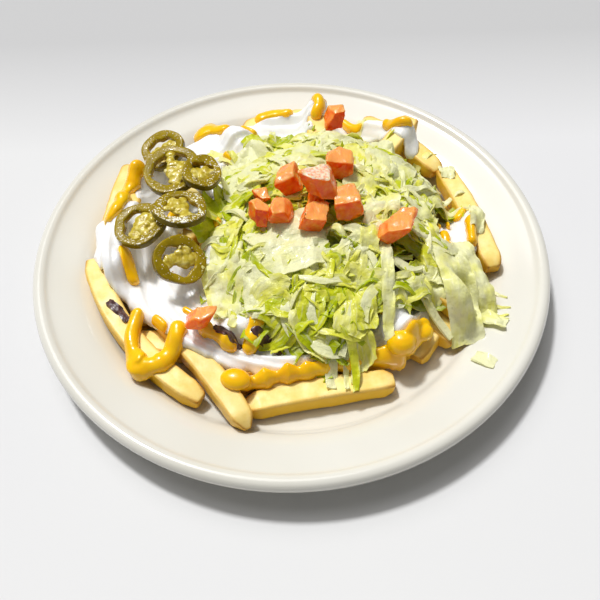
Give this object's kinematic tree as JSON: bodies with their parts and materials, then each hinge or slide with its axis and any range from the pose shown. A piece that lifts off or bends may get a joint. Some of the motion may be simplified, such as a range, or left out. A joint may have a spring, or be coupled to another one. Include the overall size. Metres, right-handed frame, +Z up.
{
  "type": "plate of loaded cheese fries",
  "caption": "Round rimmed plate holding a pile of thick fries with cheese sauce, sour cream, jalapeno rings, shredded lettuce and diced tomato.",
  "frame": {"origin": "on the table under the centre of the plate, in the plane of its foot ring", "axes": "+Z up from the table; +X to the right and -Y towards the viewer, as the dish is seen in the picture"},
  "size_m": [0.267, 0.267, 0.0728],
  "materials": {
    "glazed_plate": "glossy cream-white glaze",
    "fries_and_sauces": "golden fried potato under glossy cheese sauce and sour cream",
    "pickled_pepper": "wet olive-green pickled skin and flesh",
    "shredded_lettuce": "crisp pale green leaf with a moist sheen",
    "diced_tomato": "moist red flesh, slightly translucent"
  },
  "bodies": {
    "root": {"plate": "glazed_plate", "loaded_fries": "fries_and_sauces", "jalapeno_1": "pickled_pepper", "jalapeno_2": "pickled_pepper", "jalapeno_3": "pickled_pepper", "jalapeno_4": "pickled_pepper", "jalapeno_5": "pickled_pepper", "jalapeno_6": "pickled_pepper", "lettuce": "shredded_lettuce", "lettuce_scrap": "shredded_lettuce", "tomato_1": "diced_tomato", "tomato_2": "diced_tomato", "tomato_3": "diced_tomato", "tomato_4": "diced_tomato", "tomato_5": "diced_tomato", "tomato_6": "diced_tomato", "tomato_7": "diced_tomato", "tomato_8": "diced_tomato", "tomato_9": "diced_tomato", "tomato_10": "diced_tomato", "tomato_11": "diced_tomato", "tomato_12": "diced_tomato"}
  },
  "joints": []
}
